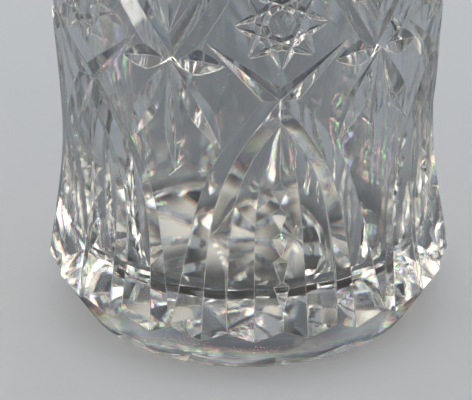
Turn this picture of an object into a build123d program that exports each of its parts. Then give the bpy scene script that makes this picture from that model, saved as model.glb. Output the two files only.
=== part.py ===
from build123d import *
import os
from math import atan2, cos, degrees, pi, radians, sin, tanh

# Cut crystal vase, blown and wheel-cut from one piece of lead crystal.
# Row frame: origin at the centre of the foot's resting plane, +Z up, millimetres.
# Angles on the wall are degrees round from the front (-Y), positive towards +X.
# The cutting repeats every 60 degrees and is mirrored within each repeat, so a half repeat
# of 30 degrees is modelled, then mirrored and turned round the axis.

# Driving dimensions
height = 228.0
foot_radius = 62.5
shoulder_radius = 75.0
shoulder_height = 20.6
waist_radius = 67.7
waist_height = 73.0
waist_turn = 0.62 * pi
flare_power = 1.42
rim_radius = 77.0
floor_height = 21.0
bore_radius = 58.0
bore_power = 1.6
rim_wall = 8.5
floor_fillet = 14.0
recess_radius = 54.0
recess_depth = 1.2
recess_slant = 3.0

repeats = 6
half_repeat = 180.0 / repeats
flute_pitch = 15.0

# Where the two rows of crossings sit, and how fast their arms open out to the flutes
low_node_height = 100.9
high_node_height = 115.1
arm_spread = 1.5 * flute_pitch
low_arm_reach = 32.6
high_arm_reach = 36.7
inner_flute_reach = 23.5
low_apex_height = 93.4
high_apex_height = 124.1
low_arm_half_width = 4.7
low_arm_growth = 2.5
low_arm_foot_growth = 2.1
low_arm_foot_power = 5
high_arm_half_width = 5.0
high_arm_growth = 5.2
high_arm_power = 1.6
low_flute_start = 8.0
low_flute_full = 18.0
apex_run_out = 0.5
inner_flute_sink = 0.05

# Mitre wheels: depth of a cut per millimetre of its half width
flute_slope = 0.37
leaf_slope = 0.5
leaf_swell = 1.4
leaf_widest = 0.6
even_widest = 0.5
star_slope = 0.6
tip_half_width = -0.3
cutter_margin = 3.0

# The lower crossing's straight arms that climb past the upper crossing
cross_arm_turn = 20.6
cross_arm_rise = 21.6
cross_arm_half_width = 4.2
cross_arm_lead = 0.05

# Leaves round the upper crossing
side_leaf_turn = 15.0
side_leaf_drop = 1.4
side_leaf_half_width = 4.4
slant_leaf_turn = 16.4
slant_leaf_height = 84.6
slant_leaf_half_width = 4.1
down_leaf_height = 75.0
down_leaf_half_width = 3.1

# Hobstar
star_height = 127.5
star_radius = 15.8
star_points = 8
star_skip = 3
star_cut_half_width = 2.1
button_radius = 5.2
button_depth = 0.9

# Diamond notches on the middle ridges
notch_pitch = 8.35
notch_depth = 1.45
notch_slope = 0.36
notch_half_length = 9.0
low_notch_start = 35.3
low_notch_count = 5
high_notch_start = 151.0
high_notch_count = 8

# V cuts that leave the rim's teeth: the wheel stands clear of the rim by the overshoot
rim_tooth_depth = 4.0
rim_tooth_gap = 16.4
rim_cut_overshoot = 1.5

# Star under the foot: its rays meet side by side and end as points on the foot ring
foot_star_rays = 12
foot_ray_start = 1.0
foot_ray_widest = 50.0
foot_ray_reach = 60.5
foot_ray_slope = 0.28


def wall_radius(z):
    """Radius of the uncut wall at a height, from the shoulder to the rim."""
    if z < waist_height:
        part = (waist_height - z) / (waist_height - shoulder_height)
        swell = (1 - cos(waist_turn * part)) / (1 - cos(waist_turn))
        return waist_radius + (shoulder_radius - waist_radius) * swell
    part = (z - waist_height) / (height - waist_height)
    return waist_radius + (rim_radius - waist_radius) * part**flare_power


def bore_radius_at(z):
    """Radius of the hollow above its rounded floor."""
    part = (z - floor_height - floor_fillet) / (height - floor_height - floor_fillet)
    return bore_radius + (rim_radius - rim_wall - bore_radius) * part**bore_power


def blank():
    """A 30 degree slice of the uncut vase."""
    heights = (shoulder_height, 34, 47, 60, waist_height, 95, 125, 160, 195, height)
    outer = [(wall_radius(z), z) for z in heights]
    inner_top = (rim_radius - rim_wall, height)
    inner = [(bore_radius_at(z), z) for z in (floor_height + floor_fillet, 62, 95, 140, 187, height)]
    with BuildSketch(Plane.XZ) as section:
        with BuildLine():
            Line((0, recess_depth), (recess_radius - recess_slant, recess_depth))
            Line((recess_radius - recess_slant, recess_depth), (recess_radius, 0))
            Line((recess_radius, 0), (foot_radius, 0))
            Line((foot_radius, 0), (shoulder_radius, shoulder_height))
            Spline(*outer)
            Line((rim_radius, height), inner_top)
            Spline(*reversed(inner))
            RadiusArc(inner[0], (bore_radius - floor_fillet, floor_height), floor_fillet)
            Line((bore_radius - floor_fillet, floor_height), (0, floor_height))
            Line((0, floor_height), (0, recess_depth))
        make_face()
    slice_ = revolve(section.sketch, Axis.Z, half_repeat)
    return slice_.rotate(Axis.Z, -90)


def wall_frame(angle, z):
    """Point on the wall with its outward and sideways directions."""
    a = radians(angle)
    out = Vector(sin(a), -cos(a), 0)
    side = Vector(cos(a), sin(a), 0)
    return out * wall_radius(z) + Vector(0, 0, z), out, side


def hull_of_sections(sections):
    """Closed solid through triangular sections (valley, left, right)."""
    faces = [Face(Wire.make_polygon(sections[0])), Face(Wire.make_polygon(sections[-1]))]
    for one, two in zip(sections, sections[1:]):
        for i in range(3):
            j = (i + 1) % 3
            faces.append(Face(Wire.make_polygon([one[i], one[j], two[j]])))
            faces.append(Face(Wire.make_polygon([one[i], two[j], two[i]])))
    return Solid(Shell(faces))


def groove(path, slope, deeper=0.0):
    """V cutter along a path on the wall. Each path point is (angle, height, half width)."""
    sections = []
    for i, (angle, z, half_width) in enumerate(path):
        before, after = path[max(i - 1, 0)], path[min(i + 1, len(path) - 1)]
        across = radians(after[0] - before[0]) * wall_radius(z)
        lean = atan2(across, after[1] - before[1])
        point, out, side = wall_frame(angle, z)
        beside = side * cos(lean) - Vector(0, 0, 1) * sin(lean)
        sag = (half_width * cos(lean)) ** 2 / (2 * wall_radius(z))
        valley = point - out * (slope * half_width + sag + deeper)
        reach = max(half_width, 0) + cutter_margin
        lift = out * (slope * reach)
        sections.append([valley, valley + lift - beside * reach, valley + lift + beside * reach])
    return hull_of_sections(sections)


def leaf(start, end, half_width, slope, widest=leaf_widest):
    """Cutter of a pointed leaf between two (angle, height) places on the wall."""
    path = []
    for part in (0.0, 0.5 * widest, widest, 0.5 * (1 + widest), 1.0):
        swell = part / widest if part < widest else (1 - part) / (1 - widest)
        width = half_width * (1 - (1 - swell) ** leaf_swell) if 0 < part < 1 else tip_half_width
        path.append((start[0] + (end[0] - start[0]) * part, start[1] + (end[1] - start[1]) * part, width))
    return groove(path, slope)


def low_arm(z):
    """Angle of the lower arm's valley at a height."""
    return arm_spread * tanh((low_node_height - z) / low_arm_reach)


def high_arm(z):
    """Angle of the upper arm's valley at a height."""
    return half_repeat - arm_spread * tanh((z - high_node_height) / high_arm_reach)


def low_flutes():
    """The two flutes of a half arch that run up from the shoulder."""
    arm = []
    for z in (low_flute_start, 14, shoulder_height, 28, 36, 46, 58, 70, 80, 90, low_node_height):
        drop = (low_node_height - max(z, low_flute_full)) / shoulder_radius
        growth = low_arm_growth * drop + low_arm_foot_growth * drop**low_arm_foot_power
        arm.append((low_arm(z), z, low_arm_half_width + growth))
    inner = []
    top = low_apex_height + apex_run_out
    for z in (low_flute_start, 14, shoulder_height, 28, 36, 46, 58, 70, 78, 86, top):
        angle = (flute_pitch / 2) * tanh(max(low_apex_height - z, 0) / inner_flute_reach)
        inner.append((angle, z, radians(angle) * wall_radius(max(z, low_flute_full))))
    return [groove(arm, flute_slope), groove(inner, flute_slope, inner_flute_sink)]


def high_flutes():
    """The two flutes of a half arch that run up to the rim."""
    arm = []
    for z in (high_node_height, 126, 137, 150, 165, 182, 200, 218, height + cutter_margin):
        rise = (z - high_node_height) / (height - high_node_height)
        arm.append((high_arm(z), z, high_arm_half_width + high_arm_growth * rise**high_arm_power))
    inner = []
    for z in (high_apex_height - apex_run_out, 132, 141, 152, 165, 182, 200, 218, height + cutter_margin):
        away = (flute_pitch / 2) * tanh(max(z - high_apex_height, 0) / inner_flute_reach)
        inner.append((half_repeat - away, z, radians(away) * wall_radius(min(z, height))))
    return [groove(arm, flute_slope), groove(inner, flute_slope, inner_flute_sink)]


def cross_arm():
    """The lower crossing's arm that climbs on as a straight tapering point."""
    path = []
    for part in (-cross_arm_lead, 0.0, 0.5, 1.0):
        place = (cross_arm_turn * part, low_node_height + cross_arm_rise * part)
        path.append((*place, cross_arm_half_width * (1 - part) if part < 1 else tip_half_width))
    return groove(path, leaf_slope)


def upper_star():
    """Leaves round the upper crossing: one sideways, one slanting down, one straight down."""
    centre = (half_repeat, high_node_height)
    side_tip = (side_leaf_turn, high_node_height - side_leaf_drop)
    return [
        leaf(centre, side_tip, side_leaf_half_width, leaf_slope, even_widest),
        leaf(centre, (slant_leaf_turn, slant_leaf_height), slant_leaf_half_width, leaf_slope),
        leaf(centre, (half_repeat, down_leaf_height), down_leaf_half_width, leaf_slope),
    ]


def hobstar():
    """Eight-pointed star of straight chords, with a hollowed round button in the middle."""
    radius = wall_radius(star_height)
    cutters = []
    for k in range(star_points):
        ends = []
        for step in (k, k + star_skip):
            turn = 2 * pi * step / star_points
            angle = degrees(star_radius * sin(turn) / radius)
            ends.append((angle, star_height + star_radius * cos(turn)))
        reaches_slice = max(angle for angle, z in ends) > 0.1
        if reaches_slice:
            cutters.append(leaf(*ends, star_cut_half_width, star_slope, even_widest))
    ball = (button_radius**2 + button_depth**2) / (2 * button_depth)
    centre, out, side = wall_frame(0, star_height)
    cutters.append(Pos(centre + out * (ball - button_depth)) * Sphere(ball))
    return cutters


def notch(angle, z):
    """Horizontal V notch that leaves a diamond where it crosses a ridge."""
    point, out, side = wall_frame(angle, z)
    root = point - out * notch_depth
    rise = notch_depth + cutter_margin
    half = rise / notch_slope
    corners = [root, root + out * rise + Vector(0, 0, half), root + out * rise - Vector(0, 0, half)]
    along = side * notch_half_length
    return hull_of_sections([[c - along for c in corners], [c + along for c in corners]])


def notches():
    low = [notch(0, low_notch_start + notch_pitch * k) for k in range(low_notch_count)]
    high = [notch(half_repeat, high_notch_start + notch_pitch * k) for k in range(high_notch_count)]
    return low + high


def rim_teeth():
    """V cuts across the rim at each ridge, leaving one tooth per flute."""
    cutters = []
    inside = rim_radius - rim_wall - cutter_margin
    outside = rim_radius + cutter_margin
    for angle in (0, flute_pitch, 2 * flute_pitch):
        point, out, side = wall_frame(angle, height)
        root = Vector(0, 0, height - rim_tooth_depth)
        wide = side * (rim_cut_overshoot * rim_tooth_gap / 2)
        lift = Vector(0, 0, rim_cut_overshoot * rim_tooth_depth)
        section = [root, root + lift - wide, root + lift + wide]
        ends = [[corner + out * reach for corner in section] for reach in (inside, outside)]
        cutters.append(hull_of_sections(ends))
    return cutters


def foot_star():
    """Radial mitre cuts under the foot, centred on every other flute ridge."""
    cutters = []
    step = 360 / foot_star_rays
    for k in range(int(half_repeat / step) + 1):
        point, out, side = wall_frame(k * step, 0)
        sections = []
        for reach, taper in ((foot_ray_start, 1), (foot_ray_widest, 1), (foot_ray_reach, 0)):
            half = radians(step / 2) * reach * taper
            roof = out * reach + Vector(0, 0, foot_ray_slope * half + recess_depth * taper)
            low = Vector(0, 0, -foot_ray_slope * (half + cutter_margin))
            wing = side * (half + cutter_margin)
            sections.append([roof, roof + low - wing, roof + low + wing])
        cutters.append(hull_of_sections(sections))
    return cutters


def crystal_body():
    slice_ = blank()
    wall_cuts = [low_flutes(), high_flutes(), [cross_arm()], upper_star(), hobstar(), notches()]
    for cutters in wall_cuts + [rim_teeth(), foot_star()]:
        for cutter in cutters:
            slice_ = slice_ - cutter
    repeat = slice_ + slice_.mirror(Plane.YZ)
    turned = [repeat.rotate(Axis.Z, 2 * half_repeat * k) for k in range(1, repeats)]
    return repeat.fuse(*turned)


if __name__ == "__main__":
    os.makedirs("parts", exist_ok=True)
    vase = crystal_body()
    vase.label = "crystal_body"
    export_step(vase, "parts/crystal_body.step")
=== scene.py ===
"""Cut crystal vase: the wheel-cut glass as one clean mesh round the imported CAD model, in a plain studio."""

from math import atan2, cos, degrees, hypot, pi, radians, sin, tanh

import bmesh
import bpy
from mathutils import Matrix, Vector, noise


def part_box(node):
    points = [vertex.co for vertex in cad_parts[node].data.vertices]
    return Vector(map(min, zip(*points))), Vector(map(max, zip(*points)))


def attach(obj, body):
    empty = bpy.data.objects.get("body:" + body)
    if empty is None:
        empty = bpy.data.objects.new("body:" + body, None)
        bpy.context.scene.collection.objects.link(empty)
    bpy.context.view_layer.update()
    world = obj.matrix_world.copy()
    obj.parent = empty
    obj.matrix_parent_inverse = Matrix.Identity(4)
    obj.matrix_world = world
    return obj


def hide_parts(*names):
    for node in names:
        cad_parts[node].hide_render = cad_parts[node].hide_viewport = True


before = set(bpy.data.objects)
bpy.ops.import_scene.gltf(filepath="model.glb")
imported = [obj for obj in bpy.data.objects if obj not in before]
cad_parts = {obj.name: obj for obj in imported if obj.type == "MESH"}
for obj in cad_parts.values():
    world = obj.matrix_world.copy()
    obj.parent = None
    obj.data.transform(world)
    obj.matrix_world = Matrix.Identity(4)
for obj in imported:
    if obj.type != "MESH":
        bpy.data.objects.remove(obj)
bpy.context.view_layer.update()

# ---------------------------------------------------------------- driving sizes, millimetres and degrees
MM = 0.001
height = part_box("crystal_body")[1].z / MM
foot_radius = 62.5
shoulder_radius = 75.0
shoulder_height = 20.6
waist_radius = 67.7
waist_height = 73.0
waist_turn = 0.62 * pi
flare_power = 1.42
rim_radius = 77.0
rim_wall = 8.5
floor_height = 21.0
bore_radius = 58.0
bore_power = 1.6
floor_fillet = 14.0
recess_radius = 54.0
recess_depth = 1.2
recess_slant = 3.0

repeats = 6
half_repeat = 180.0 / repeats
flute_pitch = 15.0

# Where the two rows of crossings sit, and how fast their arms open out to the flutes
low_node_height = 100.9
high_node_height = 115.1
arm_spread = 1.5 * flute_pitch
low_arm_reach = 32.6
high_arm_reach = 36.7
inner_flute_reach = 23.5
low_apex_height = 93.4
high_apex_height = 124.1
low_arm_half_width = 4.7
low_arm_growth = 2.5
low_arm_foot_growth = 2.1
low_arm_foot_power = 5
high_arm_half_width = 5.0
high_arm_growth = 5.2
high_arm_power = 1.6
low_flute_starts = [8, 14]
low_flute_full = 18.0
apex_run_out = 0.5
inner_flute_sink = 0.05

# Mitre wheels: depth of a cut per millimetre of its half width
flute_slope = 0.37
leaf_slope = 0.5
leaf_swell = 1.4
leaf_widest = 0.6
even_widest = 0.5
star_slope = 0.6
tip_half_width = -0.3
cutter_margin = 3.0

# The lower crossing's straight arms, and the leaves round the upper crossing
cross_arm_turn = 20.6
cross_arm_rise = 21.6
cross_arm_half_width = 4.2
cross_arm_lead = 0.05
side_leaf_turn = 15.0
side_leaf_drop = 1.4
side_leaf_half_width = 4.4
slant_leaf_turn = 16.4
slant_leaf_height = 84.6
slant_leaf_half_width = 4.1
down_leaf_height = 75.0
down_leaf_half_width = 3.1

# Hobstar. A chord that stays within the margin of the slice's side is left to the mirrored half
star_height = 127.5
star_radius = 15.8
star_points = 8
star_skip = 3
star_cut_half_width = 2.1
chord_margin = 0.1
button_radius = 5.2
button_depth = 0.9
button_clearance = 1.6
button_tip = 0.0005      # radians, the first ring of the ball

# Diamond notches on the middle ridges
notch_pitch = 8.35
notch_depth = 1.45
notch_slope = 0.36
notch_half_length = 9.0
low_notch_start = 35.3
low_notch_count = 5
high_notch_start = 151.0
high_notch_count = 8

# V cuts that leave the rim's teeth: the wheel stands clear of the rim by the overshoot
rim_tooth_depth = 4.0
rim_tooth_gap = 16.4
rim_cut_overshoot = 1.5

# Star under the foot
foot_star_rays = 12
foot_ray_start = 1.0
foot_ray_widest = 50.0
foot_ray_reach = 60.5
foot_ray_slope = 0.28

# Slow waves of a blown, hand-cut vase: their length and depth in the hollow and on the cut outside. What
# lies within the skin of the hollow counts as its surface. The foot below the ground height stays flat
hollow_wave = 20.0
hollow_wave_depth = 0.6
cut_wave = 30.0
cut_wave_depth = 0.2
skin = 0.1
ground_height = 1.0
wave_seed = 1

# How finely the uncut slice and the curved cuts are divided
slice_columns = 30
wall_rows = 84
bore_rows = 46
shoulder_rows = 8
fillet_rows = 10
floor_rings = 22
low_arm_stations = 34
low_inner_stations = 32
high_arm_stations = 40
high_inner_stations = 38
cross_arm_stations = 12
leaf_stations = 14
ray_stations = 26
button_rings = 14
button_sides = 48

sharp_angle = 7.0

# In metres: places nearer than the weld become one vertex, and faces within the flat lie on a side of
# the slice
weld = 1e-6
flat = 2e-7


def spread(start, end, count):
    """Evenly spaced numbers from start to end."""
    return [start + (end - start) * k / (count - 1) for k in range(count)]


# ---------------------------------------------------------------- the uncut slice
def wall_radius(z):
    """Radius of the uncut wall at a height, from the shoulder to the rim."""
    if z < waist_height:
        part = (waist_height - z) / (waist_height - shoulder_height)
        swell = (1 - cos(waist_turn * part)) / (1 - cos(waist_turn))
        return waist_radius + (shoulder_radius - waist_radius) * swell
    part = (z - waist_height) / (height - waist_height)
    return waist_radius + (rim_radius - waist_radius) * part**flare_power


def bore_radius_at(z):
    """Radius of the hollow above its rounded floor."""
    part = (z - floor_height - floor_fillet) / (height - floor_height - floor_fillet)
    return bore_radius + (rim_radius - rim_wall - bore_radius) * part**bore_power


def profile():
    """Closed half section (radius, height) from the axis under the foot round to the axis on the floor."""
    recess_edge = recess_radius - recess_slant
    floor_edge = bore_radius - floor_fillet
    points = [(r, recess_depth) for r in spread(0, recess_edge, 4)]
    points += [(recess_radius, 0), (foot_radius, 0)]
    radii = spread(foot_radius, shoulder_radius, shoulder_rows + 1)
    points += list(zip(radii, spread(0, shoulder_height, shoulder_rows + 1)))[1:-1]
    points += [(wall_radius(z), z) for z in spread(shoulder_height, height, wall_rows + 1)]
    bore_heights = spread(height, floor_height + floor_fillet, bore_rows + 1)
    points += [(bore_radius_at(z), z) for z in bore_heights]
    for turn in spread(0, pi / 2, fillet_rows + 1)[1:]:
        points.append((
            floor_edge + floor_fillet * cos(turn),
            floor_height + floor_fillet * (1 - sin(turn)),
        ))
    points += [(r, floor_height) for r in spread(floor_edge, 0, floor_rings + 1)[1:]]
    return points


def slice_blank():
    """Closed 30 degree slice of the uncut vase."""
    outline = profile()
    vertices, faces = [], []
    index = {}
    for c in range(slice_columns + 1):
        a = radians(half_repeat * c / slice_columns)
        for i, (r, z) in enumerate(outline):
            if r == 0 and c > 0:
                index[c, i] = index[0, i]
                continue
            index[c, i] = len(vertices)
            vertices.append((r * sin(a), -r * cos(a), z))
    n = len(outline)
    for c in range(slice_columns):
        for i in range(n - 1):
            corners = [index[c, i], index[c + 1, i], index[c + 1, i + 1], index[c, i + 1]]
            faces.append(list(dict.fromkeys(corners)))
    faces.append([index[0, i] for i in range(n)])
    faces.append([index[slice_columns, i] for i in reversed(range(n))])
    return vertices, faces


# ---------------------------------------------------------------- the cutters
def wall_frame(angle, z):
    """Point on the wall with its outward and sideways directions."""
    a = radians(angle)
    out = Vector((sin(a), -cos(a), 0))
    side = Vector((cos(a), sin(a), 0))
    return out * wall_radius(z) + Vector((0, 0, z)), out, side


def hull_of_sections(sections):
    """Closed solid through sections with equal numbers of corners."""
    n = len(sections[0])
    vertices = [p for s in sections for p in s]
    faces = [list(range(n))[::-1], [n * (len(sections) - 1) + i for i in range(n)]]
    for k in range(len(sections) - 1):
        for i in range(n):
            j = (i + 1) % n
            faces.append([n * k + i, n * k + j, n * (k + 1) + j, n * (k + 1) + i])
    return vertices, faces


def groove(path, slope, deeper=0.0):
    """V cutter along a path on the wall. Each path point is (angle, height, half width)."""
    sections = []
    for i, (angle, z, half_width) in enumerate(path):
        before, after = path[max(i - 1, 0)], path[min(i + 1, len(path) - 1)]
        across = radians(after[0] - before[0]) * wall_radius(z)
        lean = atan2(across, after[1] - before[1])
        point, out, side = wall_frame(angle, z)
        beside = side * cos(lean) - Vector((0, 0, 1)) * sin(lean)
        sag = (half_width * cos(lean)) ** 2 / (2 * wall_radius(z))
        valley = point - out * (slope * half_width + sag + deeper)
        reach = max(half_width, 0) + cutter_margin
        lift = out * (slope * reach)
        sections.append([valley, valley + lift - beside * reach, valley + lift + beside * reach])
    return hull_of_sections(sections)


def leaf(start, end, half_width, slope, widest=leaf_widest):
    """Cutter of a pointed leaf between two (angle, height) places on the wall."""
    path = []
    for part in spread(0, 1, leaf_stations + 1):
        swell = part / widest if part < widest else (1 - part) / (1 - widest)
        width = half_width * (1 - (1 - swell) ** leaf_swell) if 0 < part < 1 else tip_half_width
        path.append((start[0] + (end[0] - start[0]) * part, start[1] + (end[1] - start[1]) * part, width))
    return groove(path, slope)


def low_flutes():
    """The two flutes of a half arch that run up from the shoulder."""
    arm = []
    for z in low_flute_starts + spread(shoulder_height, low_node_height, low_arm_stations):
        drop = (low_node_height - max(z, low_flute_full)) / shoulder_radius
        angle = arm_spread * tanh((low_node_height - z) / low_arm_reach)
        growth = low_arm_growth * drop + low_arm_foot_growth * drop**low_arm_foot_power
        arm.append((angle, z, low_arm_half_width + growth))
    inner = []
    top = low_apex_height + apex_run_out
    for z in low_flute_starts + spread(shoulder_height, top, low_inner_stations):
        angle = (flute_pitch / 2) * tanh(max(low_apex_height - z, 0) / inner_flute_reach)
        inner.append((angle, z, radians(angle) * wall_radius(max(z, low_flute_full))))
    return [groove(arm, flute_slope), groove(inner, flute_slope, inner_flute_sink)]


def high_flutes():
    """The two flutes of a half arch that run up to the rim."""
    above_rim = height + cutter_margin
    arm = []
    for z in spread(high_node_height, above_rim, high_arm_stations):
        rise = (z - high_node_height) / (height - high_node_height)
        angle = half_repeat - arm_spread * tanh((z - high_node_height) / high_arm_reach)
        arm.append((angle, z, high_arm_half_width + high_arm_growth * rise**high_arm_power))
    inner = []
    for z in spread(high_apex_height - apex_run_out, above_rim, high_inner_stations):
        away = (flute_pitch / 2) * tanh(max(z - high_apex_height, 0) / inner_flute_reach)
        inner.append((half_repeat - away, z, radians(away) * wall_radius(min(z, height))))
    return [groove(arm, flute_slope), groove(inner, flute_slope, inner_flute_sink)]


def cross_arm():
    """The lower crossing's arm that climbs on as a straight tapering point."""
    path = []
    for part in [-cross_arm_lead] + spread(0, 1, cross_arm_stations):
        width = cross_arm_half_width * (1 - part) if part < 1 else tip_half_width
        path.append((cross_arm_turn * part, low_node_height + cross_arm_rise * part, width))
    return groove(path, leaf_slope)


def upper_star():
    """Leaves round the upper crossing: one sideways, one slanting down, one straight down."""
    centre = (half_repeat, high_node_height)
    side_tip = (side_leaf_turn, high_node_height - side_leaf_drop)
    return [
        leaf(centre, side_tip, side_leaf_half_width, leaf_slope, even_widest),
        leaf(centre, (slant_leaf_turn, slant_leaf_height), slant_leaf_half_width, leaf_slope),
        leaf(centre, (half_repeat, down_leaf_height), down_leaf_half_width, leaf_slope),
    ]


def button():
    """Ball that hollows out the round middle of the hobstar."""
    ball = (button_radius**2 + button_depth**2) / (2 * button_depth)
    centre, out, side = wall_frame(0, star_height)
    middle = centre + out * (ball - button_depth)
    sections = []
    for tilt in spread(button_tip, button_clearance * button_radius / ball, button_rings + 1):
        ring = []
        for j in range(button_sides):
            turn = 2 * pi * j / button_sides
            spoke = side * cos(turn) + Vector((0, 0, 1)) * sin(turn)
            ring.append(middle - out * (ball * cos(tilt)) + spoke * (ball * sin(tilt)))
        sections.append(ring)
    return hull_of_sections(sections)


def hobstar():
    """Eight-pointed star of straight chords, with a hollowed round button in the middle."""
    radius = wall_radius(star_height)
    cutters = []
    for k in range(star_points):
        ends = []
        for step in (k, k + star_skip):
            turn = 2 * pi * step / star_points
            angle = degrees(star_radius * sin(turn) / radius)
            ends.append((angle, star_height + star_radius * cos(turn)))
        reaches_slice = max(angle for angle, z in ends) > chord_margin
        if reaches_slice:
            cutters.append(leaf(*ends, star_cut_half_width, star_slope, even_widest))
    return cutters + [button()]


def notch(angle, z):
    """Horizontal V notch that leaves a diamond where it crosses a ridge."""
    point, out, side = wall_frame(angle, z)
    root = point - out * notch_depth
    rise = notch_depth + cutter_margin
    half = rise / notch_slope
    corners = [root, root + out * rise + Vector((0, 0, half)), root + out * rise - Vector((0, 0, half))]
    along = side * notch_half_length
    return hull_of_sections([[c - along for c in corners], [c + along for c in corners]])


def notches():
    """The two columns of notches: low on the front ridge, high on the ridge between the arches."""
    low = [notch(0, low_notch_start + notch_pitch * k) for k in range(low_notch_count)]
    high = [notch(half_repeat, high_notch_start + notch_pitch * k) for k in range(high_notch_count)]
    return low + high


def rim_teeth():
    """V cuts across the rim at each ridge, leaving one tooth per flute."""
    cutters = []
    inside = rim_radius - rim_wall - cutter_margin
    outside = rim_radius + cutter_margin
    for angle in (0, flute_pitch, 2 * flute_pitch):
        point, out, side = wall_frame(angle, height)
        root = Vector((0, 0, height - rim_tooth_depth))
        wide = side * (rim_cut_overshoot * rim_tooth_gap / 2)
        lift = Vector((0, 0, rim_cut_overshoot * rim_tooth_depth))
        section = [root, root + lift - wide, root + lift + wide]
        ends = [[corner + out * reach for corner in section] for reach in (inside, outside)]
        cutters.append(hull_of_sections(ends))
    return cutters


def foot_star():
    """Radial mitre cuts under the foot that meet side by side and run out to points on the foot ring."""
    cutters = []
    step = 360 / foot_star_rays
    for k in range(int(half_repeat / step) + 1):
        point, out, side = wall_frame(k * step, 0)
        sections = []
        for reach in spread(foot_ray_start, foot_ray_reach, ray_stations):
            taper = min(1, (foot_ray_reach - reach) / (foot_ray_reach - foot_ray_widest))
            half = radians(step / 2) * min(reach, foot_ray_widest) * taper
            roof = out * reach + Vector((0, 0, foot_ray_slope * half + recess_depth * taper))
            low = Vector((0, 0, -foot_ray_slope * (half + cutter_margin)))
            wing = side * (half + cutter_margin)
            sections.append([roof, roof + low - wing, roof + low + wing])
        cutters.append(hull_of_sections(sections))
    return cutters


# ---------------------------------------------------------------- mesh tools
def new_object(name, vertices, faces):
    """Mesh object in the scene, from places in millimetres."""
    mesh = bpy.data.meshes.new(name)
    mesh.from_pydata([Vector(v) * MM for v in vertices], [], faces)
    piece = bpy.data.objects.new(name, mesh)
    bpy.context.scene.collection.objects.link(piece)
    return piece


def outward(piece):
    """Makes every face normal point out of the closed mesh."""
    bm = bmesh.new()
    bm.from_mesh(piece.data)
    bmesh.ops.recalc_face_normals(bm, faces=bm.faces)
    bm.to_mesh(piece.data)
    bm.free()


def carve(piece, cutters):
    """Cuts each closed cutter out of the piece."""
    for vertices, faces in cutters:
        tool = new_object("cutter", vertices, faces)
        outward(tool)
        cut = piece.modifiers.new("cut", "BOOLEAN")
        cut.operation = "DIFFERENCE"
        cut.solver = "MANIFOLD"
        cut.object = tool
        graph = bpy.context.evaluated_depsgraph_get()
        carved = bpy.data.meshes.new_from_object(piece.evaluated_get(graph))
        piece.modifiers.remove(cut)
        spent = [piece.data, tool.data]
        piece.data = carved
        bpy.data.objects.remove(tool)
        for mesh in spent:
            bpy.data.meshes.remove(mesh)


def add_copy(bm, geometry, matrix, flip=False):
    """Adds a moved copy of part of the mesh."""
    copy = bmesh.ops.duplicate(bm, geom=geometry)["geom"]
    bmesh.ops.transform(bm, matrix=matrix, verts=[g for g in copy if isinstance(g, bmesh.types.BMVert)])
    if flip:
        bmesh.ops.reverse_faces(bm, faces=[g for g in copy if isinstance(g, bmesh.types.BMFace)])


def in_order(elements, place):
    """Sorts vertices or faces by place, so that every run gives the same numbering."""
    ordered = sorted(elements, key=lambda element: place(element).to_tuple(6))
    rank = {element: number for number, element in enumerate(ordered)}
    elements.sort(key=rank.get)


def full_turn(piece):
    """Mirrors the carved slice and repeats it round the axis as one closed mesh."""
    bm = bmesh.new()
    bm.from_mesh(piece.data)
    edge = Vector((cos(radians(half_repeat)), sin(radians(half_repeat)), 0))
    sides = [
        f for f in bm.faces
        if all(abs(v.co.x) < flat for v in f.verts) or all(abs(v.co.dot(edge)) < flat for v in f.verts)
    ]
    bmesh.ops.delete(bm, geom=sides, context="FACES")
    bmesh.ops.remove_doubles(bm, verts=bm.verts, dist=weld)
    bmesh.ops.dissolve_degenerate(bm, edges=bm.edges, dist=weld)
    add_copy(bm, bm.verts[:] + bm.edges[:] + bm.faces[:], Matrix.Diagonal((-1, 1, 1, 1)), flip=True)
    first = bm.verts[:] + bm.edges[:] + bm.faces[:]
    for k in range(1, repeats):
        add_copy(bm, first, Matrix.Rotation(2 * pi * k / repeats, 4, "Z"))
    bmesh.ops.remove_doubles(bm, verts=bm.verts, dist=2 * weld)
    loose = [v for v in bm.verts if not v.link_faces]
    bmesh.ops.delete(bm, geom=loose, context="VERTS")
    in_order(bm.verts, lambda v: v.co)
    in_order(bm.faces, lambda f: f.calc_center_median())
    bm.to_mesh(piece.data)
    bm.free()


def uneven(piece):
    """Adds the slow waves: strong in the hollow, slight on the cut outside, none on the resting plane."""
    noise.seed_set(wave_seed)
    for vertex in piece.data.vertices:
        spot = vertex.co / MM
        bore = bore_radius_at(max(spot.z, floor_height + floor_fillet))
        in_hollow = spot.z > floor_height - skin and hypot(spot.x, spot.y) < bore + skin
        if in_hollow:
            shift = noise.noise_vector(spot / hollow_wave) * hollow_wave_depth
        elif spot.z > ground_height:
            shift = noise.noise_vector(spot / cut_wave) * cut_wave_depth
        else:
            continue
        vertex.co += shift * MM


def crystal_mesh():
    """The whole vase as one closed mesh with sharp cut edges."""
    piece = new_object("crystal_vase", *slice_blank())
    outward(piece)
    wall_cuts = [low_flutes(), high_flutes(), [cross_arm()], upper_star(), hobstar(), notches()]
    for family in wall_cuts + [rim_teeth(), foot_star()]:
        carve(piece, family)
    full_turn(piece)
    uneven(piece)
    outward(piece)
    piece.data.shade_smooth()
    piece.data.set_sharp_from_angle(angle=radians(sharp_angle))
    return piece


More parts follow.
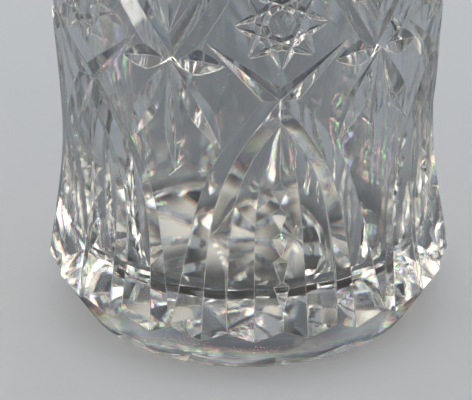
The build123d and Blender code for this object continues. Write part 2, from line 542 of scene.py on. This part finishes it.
# ---------------------------------------------------------------- node tools
class NodeTree:
    """Short calls that build shader nodes. A value is a number, a vector, a colour or a node's output."""

    def __init__(self, tree):
        self.nodes, self.links = tree.nodes, tree.links

    def put(self, socket, value):
        """Sets a socket, or links a node's output to it."""
        if isinstance(value, bpy.types.NodeSocket):
            self.links.new(value, socket)
        else:
            socket.default_value = value

    def add(self, kind, **values):
        """New node with some of its sockets set by name."""
        node = self.nodes.new(kind)
        for name, value in values.items():
            self.put(node.inputs[name], value)
        return node

    def fill(self, node, *values):
        """Sets a node's first sockets in turn."""
        for socket, value in zip(node.inputs, values):
            self.put(socket, value)
        return node

    def math(self, operation, one, two=0.0):
        """One number from two."""
        node = self.nodes.new("ShaderNodeMath")
        node.operation = operation
        return self.fill(node, one, two).outputs[0]

    def measure(self, operation, one, two=(0, 0, 0)):
        """One number from two vectors: DOT_PRODUCT, DISTANCE or LENGTH."""
        node = self.nodes.new("ShaderNodeVectorMath")
        node.operation = operation
        return self.fill(node, one, two).outputs["Value"]

    def ramp(self, value, start, end, low, high, shape="SMOOTHSTEP"):
        """low up to the start, high from the end on, and a step of the given shape between."""
        node = self.nodes.new("ShaderNodeMapRange")
        node.interpolation_type = shape
        return self.fill(node, value, start, end, low, high).outputs["Result"]

    def blend(self, share, one, two, kind="FLOAT"):
        """one where the share is 0, two where it is 1."""
        node = self.nodes.new("ShaderNodeMix")
        node.data_type = kind
        for name, value in (("Factor", share), ("A", one), ("B", two)):
            self.put(node.inputs[name], value)
        return node.outputs["Result"]

    def noise(self, place, scale, detail):
        """Cloudy pattern, a number near a half that varies from place to place."""
        return self.add("ShaderNodeTexNoise", Vector=place, Scale=scale, Detail=detail).outputs[0]


# ---------------------------------------------------------------- materials
glass_bending = 1.545
glass_dispersion = 0.036
glass_tint = (0.985, 0.99, 0.99, 1)
part_colours = [(0.5, 0.25, 0.25, 1), (0.25, 0.5, 0.25, 1), (0.25, 0.25, 0.5, 1)]

# Rounded edges with a painted sheen that only the camera sees: it starts, and is full, at these cosines
# between rounded and flat normals
edge_rounding = 0.5 * MM
edge_ends = (0.998, 0.975)
edge_sheen_strength = 0.7
edge_sheen_roughness = 0.5
bevel_samples = 4

ripple_height = 0.04 * MM
ripple_scale = 150.0
ripple_detail = 2.0

floor_colour = (0.79, 0.785, 0.78, 1)
floor_in_glass_colour = (0.95, 0.985, 1.025, 1)
black = (0, 0, 0, 1)
floor_roughness = 0.9

# How light the floor is in the glass: start and end of the change in metres, then the share at each
aside_shade = (0.06, 0.19, 0.285, 0.50)
under_shade = (0.045, 0.10, 0.42, 1.0)
far_shade = (0.35, 1.0, 1.0, 0.3)

# Light gathered under the foot: its middle, how it fades outwards, and the patches it breaks into
gathered_colour = (1.0, 0.93, 0.82, 1)
gathered_middle = (0, 0.024, 0)
gathered_fade = (0.030, 0.052, 0.24, 0.0)
patch_scale = 32.0
patch_detail = 1.0
patch_contrast = (0.38, 0.62, 0.1, 3.0)


def crystal_material():
    """Clear polished crystal: faint ripples, rounded edges with a painted sheen for camera rays, and coloured
    fringes.

    The rays from the camera split into three slightly different bendings, which makes the fringes.
    """
    material = bpy.data.materials.new("lead_crystal")
    material.use_nodes = True
    tree = NodeTree(material.node_tree)
    tree.nodes.clear()
    from_camera = tree.add("ShaderNodeLightPath").outputs["Is Camera Ray"]
    place = tree.add("ShaderNodeTexCoord").outputs["Object"]
    polish = tree.noise(place, ripple_scale, ripple_detail)
    ripple = tree.add("ShaderNodeBump", Strength=1.0, Distance=ripple_height, Height=polish)
    rounding = tree.add("ShaderNodeBevel", Radius=edge_rounding, Normal=ripple.outputs["Normal"])
    rounding.samples = bevel_samples
    normal = rounding.outputs["Normal"]

    def glass(colour, bending):
        node = tree.add("ShaderNodeBsdfGlass", Color=colour, IOR=bending, Roughness=0.0, Normal=normal)
        return node.outputs[0]

    def add_shaders(one, two):
        return tree.fill(tree.nodes.new("ShaderNodeAddShader"), one, two).outputs[0]

    def mix_shaders(share, one, two):
        return tree.fill(tree.nodes.new("ShaderNodeMixShader"), share, one, two).outputs[0]

    bendings = spread(glass_bending - glass_dispersion, glass_bending + glass_dispersion, 3)
    red, green, blue = [glass(colour, bending) for colour, bending in zip(part_colours, bendings)]
    prism = add_shaders(add_shaders(red, green), blue)
    clear = mix_shaders(from_camera, glass(glass_tint, glass_bending), prism)

    # Painted sheen: along the rounded edges, camera rays meet a rough glossy layer mixed over the clear glass
    flat_normal = tree.add("ShaderNodeNewGeometry").outputs["Normal"]
    alike = tree.measure("DOT_PRODUCT", normal, flat_normal)
    edge_sheen_mask = tree.ramp(alike, *edge_ends, 0.0, edge_sheen_strength, shape="LINEAR")
    painted_edge_sheen = tree.add("ShaderNodeBsdfGlossy", Roughness=edge_sheen_roughness, Normal=normal).outputs[0]
    whole = mix_shaders(tree.math("MULTIPLY", edge_sheen_mask, from_camera), clear, painted_edge_sheen)
    tree.add("ShaderNodeOutputMaterial", Surface=whole)
    return material


def floor_material():
    """Pale matt floor.

    Rays that the glass has bent or reflected find it darker, most of all straight behind the vase,
    under the foot and far away. Through the glass, warm patches of gathered light show under the foot.
    """
    material = bpy.data.materials.new("studio_floor")
    material.use_nodes = True
    tree = NodeTree(material.node_tree)
    place = tree.add("ShaderNodeNewGeometry").outputs["Position"]
    ray = tree.add("ShaderNodeLightPath").outputs

    aside = tree.math("ABSOLUTE", tree.add("ShaderNodeSeparateXYZ", Vector=place).outputs[0])
    away = tree.measure("LENGTH", place)
    tone = tree.ramp(aside, *aside_shade)
    for shade in (under_shade, far_shade):
        tone = tree.math("MULTIPLY", tone, tree.ramp(away, *shade))
    toned = tree.blend(tone, black, floor_in_glass_colour, kind="RGBA")

    under_foot = tree.ramp(tree.measure("DISTANCE", place, gathered_middle), *gathered_fade)
    patches = tree.ramp(tree.noise(place, patch_scale, patch_detail), *patch_contrast, shape="LINEAR")
    gathered = tree.math("MULTIPLY", under_foot, patches)

    surface = tree.nodes["Principled BSDF"].inputs
    tree.put(surface["Base Color"], tree.blend(ray["Is Glossy Ray"], floor_colour, toned, kind="RGBA"))
    tree.put(surface["Roughness"], floor_roughness)
    tree.put(surface["Specular IOR Level"], 0.0)
    tree.put(surface["Emission Color"], gathered_colour)
    tree.put(surface["Emission Strength"], tree.math("MULTIPLY", gathered, ray["Is Transmission Ray"]))
    return material


# ---------------------------------------------------------------- the vase
vase = crystal_mesh()
vase.data.materials.clear()
vase.data.materials.append(crystal_material())
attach(vase, "root")
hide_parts("crystal_body")

# ---------------------------------------------------------------- the floor, just clear of the foot
floor_half = 4000
floor_drop = 0.2
corners = [(x * floor_half, y * floor_half, -floor_drop) for x, y in ((-1, -1), (1, -1), (1, 1), (-1, 1))]
floor = new_object("floor", corners, [(0, 1, 2, 3)])
floor.data.materials.append(floor_material())


# ---------------------------------------------------------------- studio light
overhead_from = 0.8
warm_from, warm_full = 0.6, 1.8


class Studio(NodeTree):
    """The studio's light as a world: plain surrounds with soft-edged panels and flags round the vase."""

    def __init__(self):
        self.world = bpy.data.worlds.new("studio")
        self.world.use_nodes = True
        super().__init__(self.world.node_tree)
        self.direction = self.add("ShaderNodeTexCoord").outputs["Generated"]
        self.ray = self.add("ShaderNodeLightPath").outputs

    def window(self, turn, rise, wide, tall, edge):
        """1 inside a soft-edged panel that faces the vase.

        turn and rise say where it is. wide and tall are its half sizes as tangents.
        """
        a, e = radians(turn), radians(rise)
        toward = Vector((sin(a) * cos(e), -cos(a) * cos(e), sin(e)))
        side = Vector((cos(a), sin(a), 0))
        top = side.cross(toward)
        depth = self.measure("DOT_PRODUCT", self.direction, toward)
        ahead = self.math("MAXIMUM", depth, 0.001)
        lit = self.math("GREATER_THAN", depth, 0.01)
        for axis, half in ((side, wide), (top, tall)):
            along = self.measure("DOT_PRODUCT", self.direction, axis)
            off = self.math("ABSOLUTE", self.math("DIVIDE", along, ahead))
            lit = self.math("MULTIPLY", lit, self.ramp(off, half, half + edge, 1, 0))
        return lit

    def surround(self, low, high, panels, flags=()):
        """Light from all round: low at the horizon, high overhead, less the flags, plus the panels."""
        upward = self.measure("DOT_PRODUCT", self.direction, (0, 0, 1))
        total = self.ramp(upward, 0.0, overhead_from, low, high)
        for *window, keep in flags:
            gone = self.math("MULTIPLY", self.window(*window), 1 - keep)
            total = self.math("MULTIPLY", total, self.math("SUBTRACT", 1.0, gone))
        for *window, power in panels:
            total = self.math("ADD", total, self.math("MULTIPLY", self.window(*window), power))
        return total

    def finish(self, through, mirrored, on_floor, seen, cool, warm):
        """Gives each kind of ray its surround, with the dim light cool and the strong light warm."""
        total = self.blend(self.ray["Is Glossy Ray"], on_floor, mirrored)
        total = self.blend(self.ray["Is Diffuse Ray"], total, on_floor)
        total = self.blend(self.ray["Is Transmission Ray"], total, through)
        total = self.blend(self.ray["Is Camera Ray"], total, seen)
        warmth = self.ramp(total, warm_from, warm_full, 0.0, 1.0)
        colour = self.blend(warmth, cool, warm, kind="RGBA")
        background = self.nodes["Background"].inputs
        self.put(background["Strength"], total)
        self.put(background["Color"], colour)
        bpy.context.scene.world = self.world


# Each panel or flag: turn, rise, half width, half height, soft edge, then its power or the share it keeps
studio = Studio()
through = studio.surround(
    0.07, 0.30,
    panels=[
        (95, 50, 0.35, 0.30, 0.12, 1.8),
        (-95, 50, 0.35, 0.30, 0.12, 1.8),
        (180, 70, 0.20, 0.15, 0.06, 1.2),
        (60, 25, 0.11, 0.20, 0.04, 3.4),
        (-65, 22, 0.11, 0.20, 0.04, 3.4),
        (150, 55, 0.06, 0.20, 0.04, 2.0),
        (180, 36, 0.70, 0.20, 0.10, 0.12),
    ],
    flags=[(-50, 50, 0.3, 0.4, 0.1, 0.05), (130, 60, 0.2, 0.2, 0.1, 0.05), (35, 45, 0.2, 0.3, 0.1, 0.05)],
)
mirrored = studio.surround(
    0.25, 0.25,
    panels=[
        (-78, 52, 0.25, 0.3, 0.1, 20.0),
        (84, 48, 0.2, 0.35, 0.1, 18.0),
        (175, 58, 0.4, 0.25, 0.1, 14.0),
        (-8, 66, 0.25, 0.18, 0.1, 4.0),
        (-38, 10, 0.06, 0.3, 0.04, 9.0),
        (20, 12, 0.12, 0.1, 0.1, 6.0),
    ],
)
cool_light = (0.94, 0.98, 1.03, 1)
warm_light = (1.05, 0.97, 0.84, 1)
studio.finish(through, mirrored, on_floor=0.70, seen=0.545, cool=cool_light, warm=warm_light)

# ---------------------------------------------------------------- camera at the photograph's viewing angle
# Distances in metres, except the lens and sensor, which are in millimetres
camera_distance = 0.6182
camera_rise = radians(24.74)
camera_turn = radians(-8.98)
camera_roll = 0.009
aim_height = 0.0355
aim_aside = -0.00465
camera_lens = 125.6
sensor_width = 36.0
nearest_seen = 0.01

camera_data = bpy.data.cameras.new("camera")
camera_data.lens = camera_lens
camera_data.sensor_width = sensor_width
camera_data.clip_start = nearest_seen
camera = bpy.data.objects.new("camera", camera_data)
bpy.context.scene.collection.objects.link(camera)
turn = Matrix.Rotation(camera_turn, 3, "Z")
camera_height = aim_height + camera_distance * sin(camera_rise)
place = turn @ Vector((0, -camera_distance * cos(camera_rise), camera_height))
look = (turn @ Vector((aim_aside, 0, aim_height)) - place).normalized()
right = look.cross(Vector((0, 0, 1))).normalized()
up = right.cross(look)
rolled_right = right * cos(camera_roll) - up * sin(camera_roll)
rolled_up = right * sin(camera_roll) + up * cos(camera_roll)
pose = Matrix((rolled_right, rolled_up, -look)).transposed().to_4x4()
pose.translation = place
camera.matrix_world = pose

scene = bpy.context.scene
scene.camera = camera
scene.cycles.max_bounces = 24
scene.cycles.transmission_bounces = 24
scene.cycles.glossy_bounces = 12
scene.view_settings.view_transform = "Standard"
